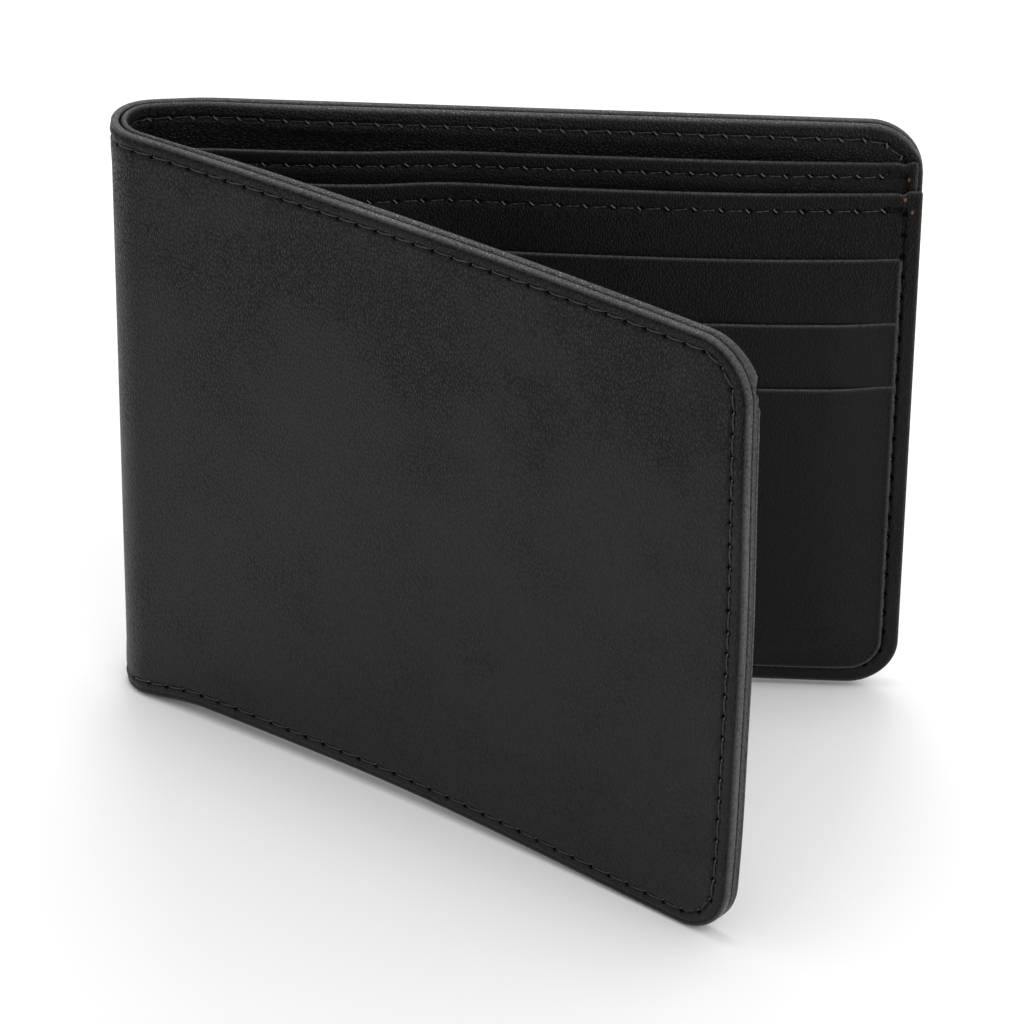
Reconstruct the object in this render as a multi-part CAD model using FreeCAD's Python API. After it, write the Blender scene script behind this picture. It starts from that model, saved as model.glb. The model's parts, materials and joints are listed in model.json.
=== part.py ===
import FreeCAD, Part
import math
import os
from FreeCAD import Placement, Rotation, Vector

# A bifold wallet standing half open on its bottom edges, in millimetres.
# Two sewn leaves meet at a rounded spine. The back leaf lies along +X with its
# outer face towards +Y, and the front leaf is its mirror image beyond the spine.
# Every layer keeps its own distance from the outer face, its depth, through the
# back leaf, round the spine and along the front leaf.

# Overall sizes
closed_width = 111.5        # spine's outermost line to a leaf's free edge
height = 89.0
corner_radius = 8.5         # at the two free corners of each leaf
fold_opening = 34.0         # degrees between the leaves as the wallet stands
loop_inner_radius = 4.2     # innermost layer's bend at the spine
fold_gap = 0.3              # split between a leaf's layers and the spine's

# Leather, fabric and turned edges, as thicknesses
cover_leather = 0.8
cover_turn = 0.4
lining_leather = 0.5
lining_turn = 0.3
bill_gap = 0.3              # empty bill compartment, also its seam allowance
divider_leather = 0.45
panel_leather = 0.55
slot_leather = 0.5
tail_fabric = 0.25

# Widths and heights of the pieces in a leaf
turned_edge_width = 7.0
interlining_clearance = 0.1
bill_seam_width = 5.0
divider_drop = 5.2          # top edge of the bill divider below the cover's
panel_drop = 9.5            # top edge of the inner panel below the cover's
first_slot_drop = 20.0      # top edge of the uppermost card slot
slot_pitch = 10.0
slot_overlap = 6.0          # how far a slot's leather runs behind the next one
slot_edge_margin = 3.3      # slots stop short of the free and bottom edges
slot_spine_margin = 8.7     # leaves 92 mm for an 85.6 mm card and its two seams
tail_side_margin = 3.0
slot_names = ("upper", "middle", "lower")

# Stitching
stitch_pitch = 3.3
stitch_length = 2.4
stitch_width = 0.5
cover_stitch_depth = 0.3
inner_stitch_depth = 0.2
edge_seam_inset = 2.4       # the seam round the edge, through every layer
divider_seam_inset = 1.9
panel_seam_inset = 2.9
pocket_seam_inset = 2.0

# Depths of the layers, from the outer face inwards
cover_inside = cover_leather + cover_turn
lining_inside = cover_inside + lining_turn + lining_leather
divider_inside = lining_inside + bill_gap + divider_leather
panel_inside = divider_inside + panel_leather

# Places that follow from the sizes
loop_radius = loop_inner_radius + panel_inside
leaf_length = closed_width - loop_radius
leaf_start = fold_gap / 2
spine_turn = math.radians(180.0 - fold_opening)
divider_top = height - divider_drop
panel_top = height - panel_drop
slot_end = leaf_length - slot_edge_margin
slot_start = slot_spine_margin
lowest_y = loop_radius * math.cos(spine_turn) - leaf_length * math.sin(spine_turn)
bbox_center = Vector((leaf_length - loop_radius) / 2, (loop_radius + lowest_y) / 2, 0)


# Shapes in the back leaf. u runs along the leaf from the spine, z is up.

def block(u_from, u_to, z_from, z_to, depth_from, depth_to):
    corner = Vector(u_from, loop_radius - depth_to, z_from)
    return Part.makeBox(u_to - u_from, depth_to - depth_from, z_to - z_from, corner)


def plate(depth_from, depth_to, inset=0.0):
    # the leaf's outline with two rounded free corners, drawn inset from the edge
    right = leaf_length - inset
    top = height - inset
    radius = max(corner_radius - inset, 0.5)
    diagonal = radius * (1 - math.sqrt(0.5))
    y = loop_radius - depth_to

    def at(u, z):
        return Vector(u, y, z)

    edges = [
        Part.LineSegment(at(leaf_start, inset), at(right - radius, inset)),
        Part.Arc(at(right - radius, inset), at(right - diagonal, inset + diagonal),
                 at(right, inset + radius)),
        Part.LineSegment(at(right, inset + radius), at(right, top - radius)),
        Part.Arc(at(right, top - radius), at(right - diagonal, top - diagonal),
                 at(right - radius, top)),
        Part.LineSegment(at(right - radius, top), at(leaf_start, top)),
        Part.LineSegment(at(leaf_start, top), at(leaf_start, inset)),
    ]
    outline = Part.Wire([edge.toShape() for edge in edges])
    return Part.Face(outline).extrude(Vector(0, depth_to - depth_from, 0))


def below(shape, top):
    return shape.common(block(0, leaf_length, 0, top, 0, panel_inside))


def sector(depth_from, depth_to, z_from, z_to, angle_from, angle_to):
    # part of the spine's bend, with angles in radians from the back leaf's end
    inner = loop_radius - depth_to
    outer = loop_radius - depth_from

    def at(radius, angle):
        return Vector(-radius * math.sin(angle), radius * math.cos(angle), z_from)

    middle = (angle_from + angle_to) / 2
    edges = [
        Part.Arc(at(outer, angle_from), at(outer, middle), at(outer, angle_to)),
        Part.LineSegment(at(outer, angle_to), at(inner, angle_to)),
        Part.Arc(at(inner, angle_to), at(inner, middle), at(inner, angle_from)),
        Part.LineSegment(at(inner, angle_from), at(outer, angle_from)),
    ]
    outline = Part.Wire([edge.toShape() for edge in edges])
    return Part.Face(outline).extrude(Vector(0, 0, z_to - z_from))


def bend(depth_from, depth_to, z_from, z_to):
    split = leaf_start / loop_radius
    return sector(depth_from, depth_to, z_from, z_to, split, spine_turn - split)


# Stitches: short flat bars, each in a groove of its own, level with the leather

def stitch(u, z, tilt, depth_from, depth_to):
    bar = Part.makeBox(stitch_length, depth_to - depth_from, stitch_width,
                       Vector(-stitch_length / 2, 0, -stitch_width / 2))
    turn = Rotation(Vector(0, 1, 0), -math.degrees(tilt))
    bar.Placement = Placement(Vector(u, loop_radius - depth_to, z), turn)
    return bar


def straight_row(start, end, depth_from, depth_to):
    (u_from, z_from), (u_to, z_to) = start, end
    length = math.hypot(u_to - u_from, z_to - z_from)
    tilt = math.atan2(z_to - z_from, u_to - u_from)
    count = max(int(length / stitch_pitch), 1)
    bars = []
    for index in range(count):
        share = (index + 0.5) / count
        u = u_from + share * (u_to - u_from)
        z = z_from + share * (z_to - z_from)
        bars.append(stitch(u, z, tilt, depth_from, depth_to))
    return bars


def corner_row(u, z, radius, angle_from, angle_to, depth_from, depth_to):
    count = max(round(radius * abs(angle_to - angle_from) / stitch_pitch), 1)
    bars = []
    for index in range(count):
        angle = angle_from + (index + 0.5) / count * (angle_to - angle_from)
        place = (u + radius * math.cos(angle), z + radius * math.sin(angle))
        bars.append(stitch(*place, angle + math.pi / 2, depth_from, depth_to))
    return bars


def spine_row(z, depth_from, depth_to):
    radius = loop_radius - (depth_from + depth_to) / 2
    count = int(radius * spine_turn / stitch_pitch)
    half_angle = stitch_length / radius / 2
    z_from = z - stitch_width / 2
    bars = []
    for index in range(count):
        middle = (index + 0.5) / count * spine_turn
        bars.append(sector(depth_from, depth_to, z_from, z_from + stitch_width,
                           middle - half_angle, middle + half_angle))
    return bars


def sew(piece, bars):
    # cut the grooves, then hand back the piece and its thread
    thread = Part.makeCompound(bars)
    return piece.cut(thread), thread


# The leaf, as named pieces

def leaf_pieces():
    pieces = {}
    row_end = leaf_length - corner_radius
    row_top = height - edge_seam_inset
    corner_row_radius = corner_radius - edge_seam_inset
    side = leaf_length - edge_seam_inset

    # cover: its edges are turned in, which leaves a recess for the interlining
    cover = plate(0, cover_inside)
    cover = cover.cut(plate(cover_leather, cover_inside, turned_edge_width))
    depths = (0, cover_stitch_depth)
    bars = straight_row((leaf_start, row_top), (row_end, row_top), *depths)
    bars += corner_row(row_end, height - corner_radius, corner_row_radius,
                       math.pi / 2, 0, *depths)
    bars += straight_row((side, height - corner_radius), (side, corner_radius), *depths)
    bars += corner_row(row_end, corner_radius, corner_row_radius,
                       0, -math.pi / 2, *depths)
    bars += straight_row((leaf_start, edge_seam_inset), (row_end, edge_seam_inset), *depths)
    pieces["cover"], pieces["cover_thread"] = sew(cover, bars)

    # interlining: a stiff sheet in the recess between cover and lining
    core = plate(cover_leather, cover_inside + lining_turn,
                 turned_edge_width + interlining_clearance)
    pieces["interlining"] = core

    # lining: turned in like the cover, facing it
    lining = plate(cover_inside, lining_inside)
    lining = lining.cut(plate(cover_inside, cover_inside + lining_turn, turned_edge_width))
    depths = (lining_inside - inner_stitch_depth, lining_inside)
    bars = straight_row((leaf_start, row_top), (row_end, row_top), *depths)
    bars += corner_row(row_end, height - corner_radius, corner_row_radius,
                       math.pi / 2, math.pi / 4, *depths)
    pieces["lining"], pieces["lining_thread"] = sew(lining, bars)

    # bill divider: stands off the lining by its seam allowance at side and bottom
    divider = below(plate(lining_inside, divider_inside), divider_top)
    compartment = block(0, leaf_length - bill_seam_width, bill_seam_width, divider_top,
                        lining_inside, lining_inside + bill_gap)
    divider = divider.cut(compartment)
    depths = (divider_inside - inner_stitch_depth, divider_inside)
    row = divider_top - divider_seam_inset
    bars = straight_row((leaf_start, row), (side, row), *depths)
    pieces["divider"], pieces["divider_thread"] = sew(divider, bars)

    # inner panel: carries the card slots; the edge seam shows on it as well
    panel = below(plate(divider_inside, panel_inside), panel_top)
    depths = (panel_inside - inner_stitch_depth, panel_inside)
    row = panel_top - panel_seam_inset
    top_bars = straight_row((leaf_start, row), (side - stitch_pitch, row), *depths)
    bars = straight_row((side, row), (side, corner_radius), *depths)
    bars += corner_row(row_end, corner_radius, corner_row_radius,
                       0, -math.pi / 2, *depths)
    bars += straight_row((leaf_start, edge_seam_inset), (row_end, edge_seam_inset), *depths)
    panel, pieces["panel_thread"] = sew(panel, top_bars)
    pieces["panel"], pieces["seam_thread"] = sew(panel, bars)

    # card slots: each overlaps the one above, and a thin tail hangs from the upper two
    pocket_bars = []
    seam_u = slot_start + pocket_seam_inset
    last = len(slot_names) - 1
    for index, name in enumerate(slot_names):
        back = panel_inside + index * slot_leather
        front = back + slot_leather
        top = height - first_slot_drop - index * slot_pitch
        next_top = top - slot_pitch if index < last else slot_edge_margin
        bottom = next_top - slot_overlap if index < last else slot_edge_margin
        slot = block(slot_start, slot_end, bottom, top, back, front)
        bars = straight_row((seam_u, top), (seam_u, next_top),
                            front - inner_stitch_depth, front)
        pieces["slot_" + name], _ = sew(slot, bars)
        pocket_bars += bars
        if index < last:
            pieces["tail_" + name] = block(
                slot_start + tail_side_margin, slot_end - tail_side_margin,
                slot_edge_margin, bottom, back, back + tail_fabric)
    pieces["pocket_thread"] = Part.makeCompound(pocket_bars)
    return pieces


# The spine carries each full-length layer round the fold

def spine_pieces():
    pieces = {}
    layers = (
        ("cover", 0, cover_inside, height, (0, cover_stitch_depth),
         (edge_seam_inset, height - edge_seam_inset)),
        ("lining", cover_inside, lining_inside, height,
         (lining_inside - inner_stitch_depth, lining_inside),
         (height - edge_seam_inset,)),
        ("divider", lining_inside + bill_gap, divider_inside, divider_top,
         (divider_inside - inner_stitch_depth, divider_inside),
         (divider_top - divider_seam_inset,)),
        ("panel", divider_inside, panel_inside, panel_top,
         (panel_inside - inner_stitch_depth, panel_inside),
         (edge_seam_inset, panel_top - panel_seam_inset)),
    )
    for name, outside, inside, top, depths, rows in layers:
        bars = []
        for row in rows:
            bars += spine_row(row, *depths)
        piece, thread = sew(bend(outside, inside, 0, top), bars)
        pieces[name] = piece
        pieces[name + "_thread"] = thread
    return pieces


nodes = {}
mirror_normal = Vector(math.cos(spine_turn / 2), math.sin(spine_turn / 2), 0)
for name, shape in leaf_pieces().items():
    nodes["back_" + name] = shape
    nodes["front_" + name] = shape.mirror(Vector(0, 0, 0), mirror_normal)
for name, shape in spine_pieces().items():
    nodes["spine_" + name] = shape

os.makedirs("parts", exist_ok=True)
for name, shape in nodes.items():
    shape.translate(-bbox_center)
    shape.exportStep("parts/" + name + ".step")
print(len(nodes), "nodes written")
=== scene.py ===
import json
import math

import bmesh
import bpy
import numpy as np
from mathutils import Matrix, Vector


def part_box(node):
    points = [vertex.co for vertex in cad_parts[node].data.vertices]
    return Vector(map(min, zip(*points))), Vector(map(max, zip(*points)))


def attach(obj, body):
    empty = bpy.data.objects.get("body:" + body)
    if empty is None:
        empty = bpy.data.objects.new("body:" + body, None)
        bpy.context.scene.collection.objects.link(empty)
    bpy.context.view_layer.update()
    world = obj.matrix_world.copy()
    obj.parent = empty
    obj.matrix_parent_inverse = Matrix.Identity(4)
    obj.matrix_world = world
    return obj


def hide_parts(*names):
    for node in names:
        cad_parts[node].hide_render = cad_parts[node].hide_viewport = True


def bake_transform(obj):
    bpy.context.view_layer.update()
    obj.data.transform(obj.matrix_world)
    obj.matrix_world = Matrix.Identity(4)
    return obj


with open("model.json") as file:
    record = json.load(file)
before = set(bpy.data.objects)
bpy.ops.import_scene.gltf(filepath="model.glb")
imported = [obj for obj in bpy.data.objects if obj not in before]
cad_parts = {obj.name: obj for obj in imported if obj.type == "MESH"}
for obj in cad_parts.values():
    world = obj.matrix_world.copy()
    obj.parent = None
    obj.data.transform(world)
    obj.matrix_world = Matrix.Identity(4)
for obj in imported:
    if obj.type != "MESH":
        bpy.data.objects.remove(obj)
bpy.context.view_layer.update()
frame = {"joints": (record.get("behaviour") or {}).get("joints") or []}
print("frame loaded")

# Sizes are in millimetres and turned into metres where a mesh is made.
# Leather coordinates: along (0 at the middle of the spine, minus towards the back
# leaf's free edge, plus towards the front's), up, and depth from the cover's face.

millimetre = 0.001
coverLow, coverHigh = (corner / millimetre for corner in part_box("back_cover"))
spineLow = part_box("spine_cover")[0] / millimetre
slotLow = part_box("back_slot_lower")[0] / millimetre

fold = {
    "split": 0.15,           # the CAD leaf starts this far from the bend
    "slack": 0.45,           # the bend sits this far inside the CAD's
    "topLoop": 7.4,
    "bottomLoop": 7.1,
    "topBow": math.radians(3.0),
    "bottomBow": math.radians(3.2),
    "takeUp": 1.4,           # leather that the front leaf loses to the bend
    "pinch": 0.9,            # the bend is narrower behind than a round one
    "pinchAt": 5.8,
    "pinchWidth": 4.2,
    "edgeBow": 0.42,         # the free edge stands out at half height
    "edgeBowAt": 47.0,
    "edgeBowWidth": 18.0,
    "footTuck": 0.75,        # and is drawn in at the foot
    "footTuckHeight": 12.5,
    "spineLift": 0.05,       # how far the bottom edge is off the floor
    "spineLiftWidth": 15.0,
    "frontLift": 1.6,        # it rises and falls again over these distances
    "frontLiftStart": 6.0,
    "frontLiftRise": 14.0,
    "frontLiftEnd": 48.0,
    "frontLiftFall": 60.0,
    "backLift": 0.75,
    "backLiftRise": 60.0,
}

height = coverHigh.z
backFace = coverHigh.y
freeEdge = coverHigh.x
spineEdge = spineLow.x
tangentX = coverLow.x - fold["split"]
loopRadius = tangentX - spineEdge
leafLength = freeEdge - tangentX
opening = -2 * math.radians(frame["joints"][0]["range_deg"][0])
halfLength = leafLength + loopRadius * (math.pi - opening) / 2
bendHalf = halfLength - leafLength
slotSpine = slotLow.x - tangentX + bendHalf
frontHeading = Vector((math.cos(opening), -math.sin(opening)))
frontNormal = Vector((-math.sin(opening), -math.cos(opening)))
loopCentre = Vector((tangentX, backFace - loopRadius))
frontCorner = loopCentre + frontNormal * loopRadius + frontHeading * (leafLength - fold["takeUp"])


def smoothStep(x):
    x = np.clip(x, 0, 1)
    return x * x * (3 - 2 * x)


def ridge(x, at, width):
    # a smooth bump, 1 at its middle
    return np.exp(-((x - at) / width) ** 2)


def curveThrough(points, x):
    # a smooth curve through a few given points
    xs, ys = np.array(points, float).T
    slopes = np.gradient(ys, xs)
    x = np.clip(x, xs[0], xs[-1])
    k = np.clip(np.searchsorted(xs, x) - 1, 0, len(xs) - 2)
    span = xs[k + 1] - xs[k]
    t = (x - xs[k]) / span
    start = ys[k] * (1 + 2 * t) * (1 - t) ** 2 + span * slopes[k] * t * (1 - t) ** 2
    end = ys[k + 1] * t * t * (3 - 2 * t) + span * slopes[k + 1] * t * t * (t - 1)
    return start + end


def foldAt(up):
    # the bend and the front leaf's line at each height
    share = np.clip(up / height, 0, 1)
    radius = fold["bottomLoop"] + (fold["topLoop"] - fold["bottomLoop"]) * share
    centreX = spineEdge + fold["slack"] + radius
    centreY = backFace - radius
    bow = fold["bottomBow"] + (fold["topBow"] - fold["bottomBow"]) * share
    reach = fold["edgeBow"] * ridge(up, fold["edgeBowAt"], fold["edgeBowWidth"])
    reach = reach - fold["footTuck"] * ridge(up, 0, fold["footTuckHeight"])
    cornerX = frontCorner.x + frontHeading.x * reach
    cornerY = frontCorner.y + frontHeading.y * reach
    turn = np.full_like(radius, math.pi - opening)
    for _ in range(8):
        startX = centreX - radius * np.sin(turn)
        startY = centreY + radius * np.cos(turn)
        chord = np.arctan2(startY - cornerY, cornerX - startX)
        turn = math.pi - (chord - bow)
    length = np.hypot(cornerX - startX, cornerY - startY) * bow / np.sin(bow)
    return radius, centreX, centreY, turn, startX, startY, chord, length, bow


def liftAt(along, up):
    # the bottom edge touches the floor only near the spine and the free corner
    rise = smoothStep((along - fold["frontLiftStart"]) / fold["frontLiftRise"])
    fall = smoothStep((along - fold["frontLiftEnd"]) / fold["frontLiftFall"])
    front = fold["frontLift"] * rise * (1 - fall)
    back = fold["backLift"] * smoothStep(-along / fold["backLiftRise"])
    spine = fold["spineLift"] * ridge(along, 0, fold["spineLiftWidth"])
    return (front + back + spine) * (1 - up / height) ** 2


def place(along, up, depth):
    # leather coordinates to the object's, in millimetres, and the outward normal
    along, up, depth = np.broadcast_arrays(*(np.asarray(v, float) for v in (along, up, depth)))
    radius, centreX, centreY, turn, startX, startY, chord, length, bow = foldAt(up)
    half = radius * turn / 2
    back = along < -half
    front = along > half
    angle = np.clip((along + half) / radius, 0, turn)
    share = np.clip((np.abs(along) - half) / (halfLength - half), 0, None)
    x = centreX - radius * np.sin(angle)
    y = centreY + radius * np.cos(angle)
    normalX, normalY = -np.sin(angle), np.cos(angle)
    x = np.where(back, centreX + share * (freeEdge - centreX), x)
    first = -(chord - bow)
    heading = first - 2 * bow * share
    x = np.where(front, startX - length * (np.sin(heading) - np.sin(first)) / (2 * bow), x)
    y = np.where(front, startY + length * (np.cos(heading) - np.cos(first)) / (2 * bow), y)
    normalX = np.where(front, np.sin(heading), normalX)
    normalY = np.where(front, -np.cos(heading), normalY)
    behind = np.where(front, 0, np.clip(normalY, 0, 1))
    waist = spineEdge + fold["slack"] + fold["pinchAt"]
    y = y - fold["pinch"] * behind * ridge(x, waist, fold["pinchWidth"])
    points = np.stack([x - normalX * depth, y - normalY * depth, up + liftAt(along, up)], -1)
    normals = np.stack([normalX, normalY, np.zeros_like(normalX)], -1)
    return points, normals


# Depths of the layers

stack = {
    "coverEdge": 1.15,      # with its turned edge
    "coverSheet": 0.8,
    "liningOuter": 1.22,
    "liningInner": 2.3,
    "liningTurn": 0.3,
    "liningPuff": 0.65,     # thicker along the top edge
    "spineGap": 0.06,       # lining stands off the cover round the bend
    "divider": 0.48,
    "panel": 0.5,
    "slot": 0.4,
    "slotStep": 0.42,
    "frontReach": 16.0,     # beyond this distance the front leaf's layers lie flatter
    "frontSheetShare": 0.75,
    "frontSlotShare": 0.5,
    "frontLiningLess": 0.3,
    "tail": 0.2,
    "dividerDrop": coverHigh.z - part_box("back_divider")[1].z / millimetre,
    "panelDrop": coverHigh.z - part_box("back_panel")[1].z / millimetre,
    "backCorner": 7.7,
    "backFoot": 7.0,
    "frontCorner": 8.2,
    "frontFoot": 7.8,
    "backPress": 0.22,      # the lining is thinner where everything is sewn together
    "frontPress": 0.2,
    "backSkive": 0.12,      # and so are the divider and the panel
    "frontSkive": 0.0,
    "backDividerTop": -0.35,    # above the CAD's
    "frontDividerTop": -1.7,
    "backPanelTop": -0.5,
    "frontPanelTop": 0.5,
    "backDividerEdge": -0.7,    # past the lining's free edge
    "frontDividerEdge": -0.1,
    "backPanelEdge": 0.12,
    "frontPanelEdge": -0.05,
    # how far divider and panel stand off what is behind them, by distance along
    "dividerGap": [(0, 2.1), (14, 2.4), (38, 1.8), (46, 0.9), (62, 0.8), (92, 0.7), (109, 0.0), (114, 0.0)],
    "panelGap": [(0, 0.5), (26, 0.7), (38, 0.8), (46, 0.25), (62, 0.7), (90, 0.6), (109, 0.0), (114, 0.0)],
    "clearance": 0.02,      # air between sheets that lie on each other
}


def gapShare(up):
    return np.clip(up / height, 0, 1) ** 0.8


def prefixOf(side):
    return "back" if side < 0 else "front"


def dividerTop(side):
    return height - stack["dividerDrop"] + stack[prefixOf(side) + "DividerTop"]


def panelTop(side):
    return height - stack["panelDrop"] + stack[prefixOf(side) + "PanelTop"]


def flatten(side, u, share):
    # the share of a thickness or gap that is left on the front leaf
    return 1.0 if side < 0 else share + (1 - share) * ridge(u, 0, stack["frontReach"])


def liningStandOff(u, up):
    return stack["spineGap"] * np.exp(-(u / 9.0) ** 4) * gapShare(up)


def liningOuter(side, u, up):
    return stack["liningOuter"] + liningStandOff(u, up)


def liningInner(side, u, up):
    top = smoothStep((up - dividerTop(side) - 0.6) / 1.8)
    less = stack["frontLiningLess"] * (1 - flatten(side, u, 0.0)) * (1 - top)
    puff = stack["liningPuff"] * smoothStep((u - 12) / 18.0) * top
    press = stack[prefixOf(side) + "Press"] * smoothStep((u - 106) / 6.0) * (1 - top)
    return stack["liningInner"] + liningStandOff(u, up) + puff - press - less


def standOff(gap, side, u, up):
    # how far a pocket sheet stands off the one behind it
    return np.clip(curveThrough(gap, u) * gapShare(up) * flatten(side, u, 0.0), 0, None)


def sheetThickness(name, side, u):
    skive = stack[prefixOf(side) + "Skive"] * smoothStep((u - 104) / 8.0)
    return stack[name] * flatten(side, u, stack["frontSheetShare"]) - skive


def dividerOuter(side, u, up):
    below = np.minimum(up, dividerTop(side) + 0.5)
    return liningInner(side, u, below) + stack["clearance"] + standOff(stack["dividerGap"], side, u, up)


def dividerInner(side, u, up):
    return dividerOuter(side, u, up) + sheetThickness("divider", side, u)


def panelOuter(side, u, up):
    return dividerInner(side, u, up) + stack["clearance"] + standOff(stack["panelGap"], side, u, up)


def panelInner(side, u, up):
    return panelOuter(side, u, up) + sheetThickness("panel", side, u)


def sewnShare(u, up):
    # the pockets are pressed flat where they are sewn, at both ends and along the foot
    atSide = smoothStep((halfLength - 3.0 - u) / 9.0)
    atFold = smoothStep((u - slotSpine) / 9.0)
    atFoot = smoothStep((up - 3.2) / 6.0)
    return atSide * (0.3 + 0.7 * atFoot) * (0.3 + 0.7 * atFold)


def slotOuter(index):
    def depth(side, u, up):
        step = stack["slotStep"] * flatten(side, u, stack["frontSlotShare"])
        lift = index * step * (0.12 + 0.88 * sewnShare(u, up))
        return panelInner(side, u, up) + stack["clearance"] / 2 + lift
    return depth


def slotInner(index, thickness):
    outer = slotOuter(index)

    def depth(side, u, up):
        leather = thickness * flatten(side, u, stack["frontSlotShare"])
        return outer(side, u, up) + leather * (0.25 + 0.75 * sewnShare(u, up))
    return depth


# Sheets of leather with a rounded edge, made of rings that follow the outline

def outlinePath(shape):
    # bottom edge outwards, up the free edge, top edge back: points, inward normals
    start, edge = shape["start"], shape["edge"]
    bottom, top = shape["bottom"], shape["top"]
    zone, step = shape["zone"], shape["step"]
    run = edge - zone - start
    count = max(int(round(run / step / 4)) * 4, 4)
    us = start + run * np.linspace(0, 1, count + 1)
    us[1] = start + 0.03       # a narrow first column keeps the shading whole at the cut
    rise = top - bottom - 2 * zone
    rises = max(int(round(rise / step / 4)) * 4, 4)
    zs = bottom + zone + rise * np.linspace(0, 1, rises + 1)

    def corner(radius):
        # a straight part, the round and a straight part again, as offsets and normals
        total = 2 * (zone - radius) + radius * math.pi / 2
        number = max(int(round(total / step)), 6)
        out = []
        for distance in np.linspace(0, total, number + 1)[1:-1]:
            if distance < zone - radius:
                out.append((distance - zone, 0.0, 0.0, 1.0, False))
            elif distance > total - (zone - radius):
                out.append((0.0, zone - (total - distance), -1.0, 0.0, False))
            else:
                angle = -math.pi / 2 + (distance - (zone - radius)) / max(radius, 1e-6)
                cos, sin = math.cos(angle), math.sin(angle)
                out.append((-radius + radius * cos, radius + radius * sin, -cos, -sin, True))
        return out

    rows = [(u, bottom, 0, 1, False, 0) for u in us]
    rows += [(edge + a, bottom + b, c, d, arc, 1)
             for a, b, c, d, arc in corner(shape["cornerBottom"])]
    rows += [(edge, z, -1, 0, False, 0) for z in zs]
    rows += [(edge + a, top - b, c, -d, arc, 2)
             for a, b, c, d, arc in reversed(corner(shape["cornerTop"]))]
    rows += [(u, top, 0, -1, False, 0) for u in us[::-1]]
    return np.array(rows, float), count, rises


def insetPath(shape, path, inset):
    # the outline moved inwards; corners turn sharp once the inset passes their radius
    u, z, nu, nz, arc, corner = path.T
    edge, bottom, top = shape["edge"], shape["bottom"], shape["top"]
    inset = inset + np.zeros_like(u)
    if shape["sideInset"]:
        # the seam keeps further from the free edge than from the long edges
        seam, zone = shape["seam"], shape["zone"]
        grow = np.where(inset < seam, inset / seam, (zone - inset) / (zone - seam))
        inset = inset + shape["sideInset"] * nu ** 2 * np.clip(grow, 0, 1)
    radius = np.where(corner == 2, shape["cornerTop"], shape["cornerBottom"])
    newU = np.minimum(u + nu * inset, edge - np.where(np.abs(nu) > 0.99, inset, 0))
    newZ = z + nz * inset
    newU = np.where(corner > 0, np.minimum(newU, edge - inset), newU)
    newZ = np.where(corner == 1, np.maximum(newZ, bottom + inset), newZ)
    newZ = np.where(corner == 2, np.minimum(newZ, top - inset), newZ)
    sharp = (arc > 0) & (inset > radius)
    newU = np.where(sharp, edge - inset, newU)
    newZ = np.where(sharp & (corner == 1), bottom + inset, newZ)
    newZ = np.where(sharp & (corner == 2), top - inset, newZ)
    return newU, newZ


def seamOf(shape, pitch):
    # the line sewn round the edge: distance along it, its places and the even pitch
    path, _, _ = outlinePath(shape)
    u, z = insetPath(shape, path, shape["seam"])
    distance = np.concatenate([[0], np.cumsum(np.hypot(np.diff(u), np.diff(z)))])
    return distance, u, z, distance[-1] / round(distance[-1] / pitch)


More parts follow.
